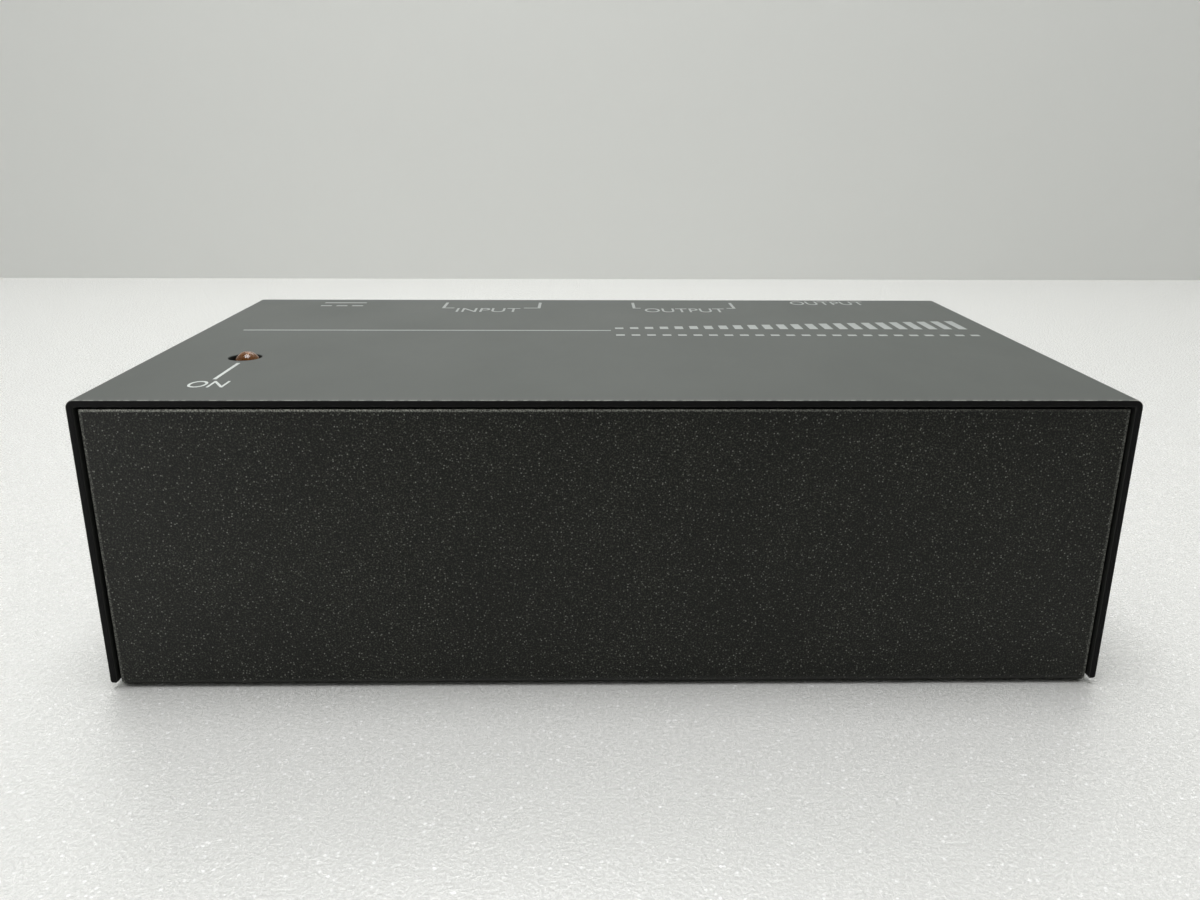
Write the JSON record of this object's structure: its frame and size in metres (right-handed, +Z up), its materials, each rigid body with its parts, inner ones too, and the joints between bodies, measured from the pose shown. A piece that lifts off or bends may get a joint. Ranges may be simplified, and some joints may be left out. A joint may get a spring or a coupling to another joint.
{
  "type": "phono preamp",
  "caption": "Compact phono preamp in a black folded steel case with a bare front, an amber power lamp in the top, and phono, line, power and ground connections at the rear.",
  "frame": {"origin": "centre of the underside of the case", "axes": "+Z up, -Y towards the bare front panel, +Y towards the sockets, +X to the right seen from the front"},
  "size_m": [0.1078, 0.0684, 0.032],
  "materials": {
    "cover_paint": "satin",
    "chassis_paint": "fine textured powder coat",
    "legend_ink": "printed ink",
    "black_screw": "black oxide",
    "plated_steel": "zinc plated",
    "solder_mask": "green solder mask",
    "tinned_metal": "tinned",
    "amber_epoxy": "clear tinted, unlit",
    "black_plastic": "moulded",
    "nickel": "nickel plated",
    "contact_bronze": "phosphor bronze",
    "white_plastic": "moulded",
    "red_plastic": "moulded",
    "moulded_epoxy": "moulded epoxy",
    "capacitor_sleeve": "shrink sleeve",
    "film_resin": "cast resin",
    "ceramic_coat": "dipped",
    "resistor_lacquer": "lacquered",
    "ferrite": "sintered"
  },
  "bodies": {
    "case": {"top_cover": "cover_paint", "base_chassis": "chassis_paint", "cover_screws": "black_screw", "board_standoffs": "plated_steel", "board_screws": "plated_steel", "circuit_board": "solder_mask", "solder_joints": "tinned_metal", "led_lens": "amber_epoxy", "led_leads": "tinned_metal", "led_spacer": "black_plastic", "dc_jack_housing": "black_plastic", "dc_centre_pin": "nickel", "dc_jack_pins": "tinned_metal", "input_jack_block": "black_plastic", "input_shells": "nickel", "input_insulator_left": "white_plastic", "input_insulator_right": "red_plastic", "input_contacts": "contact_bronze", "input_jack_pins": "tinned_metal", "input_jack_screw": "black_screw", "output_jack_block": "black_plastic", "output_shells": "nickel", "output_insulator_left": "white_plastic", "output_insulator_right": "red_plastic", "output_contacts": "contact_bronze", "output_jack_pins": "tinned_metal", "output_jack_screw": "black_screw", "line_jack_body": "black_plastic", "line_jack_bushing": "nickel", "line_jack_washer": "plated_steel", "line_jack_nut": "nickel", "line_jack_pins": "tinned_metal", "ground_nut": "plated_steel", "opamp_chips": "moulded_epoxy", "chip_legs": "tinned_metal", "voltage_regulator": "moulded_epoxy", "regulator_frame": "plated_steel", "filter_capacitors": "capacitor_sleeve", "output_capacitors": "capacitor_sleeve", "coupling_capacitors": "capacitor_sleeve", "film_capacitors": "film_resin", "ceramic_capacitors": "ceramic_coat", "ceramic_capacitor_leads": "tinned_metal", "resistors": "resistor_lacquer", "axial_leads": "tinned_metal", "diodes": "moulded_epoxy", "ferrite_beads": "ferrite"},
    "ground_screw": {"ground_screw": "plated_steel"},
    "ground_washer": {"ground_washer": "plated_steel"},
    "tip_spring": {"line_tip_spring": "contact_bronze"},
    "ring_spring": {"line_ring_spring": "contact_bronze"},
    "dc_spring": {"dc_spring_contact": "contact_bronze"}
  },
  "joints": [
    {"name": "ground_washer_travel", "type": "slide", "parent": "case", "child": "ground_washer", "axis": [0, 1, 0], "range_m": [0, 0.002]},
    {"name": "ground_screw_turn", "type": "hinge", "parent": "ground_washer", "child": "ground_screw", "pos_m": [-0.0303, 0.0302, 0.0248], "axis": [0, 1, 0], "range_deg": [0, 1440]},
    {"name": "tip_spring_flex", "type": "hinge", "parent": "case", "child": "tip_spring", "pos_m": [0.0345, 0.0224, 0.0211], "axis": [-1, 0, 0], "range_deg": [0, 4], "stiffness_Nm_per_rad": 0.2},
    {"name": "ring_spring_flex", "type": "hinge", "parent": "case", "child": "ring_spring", "pos_m": [0.0287, 0.0224, 0.0153], "axis": [0, 0, -1], "range_deg": [0, 8], "stiffness_Nm_per_rad": 0.08},
    {"name": "dc_spring_flex", "type": "hinge", "parent": "case", "child": "dc_spring", "pos_m": [-0.0378, 0.0169, 0.01705], "axis": [1, 0, 0], "range_deg": [0, 4], "stiffness_Nm_per_rad": 0.1}
  ],
  "couplings": [
    {"joint": "ground_screw_turn", "follows": "ground_washer_travel", "rad_per_m": 12566}
  ]
}
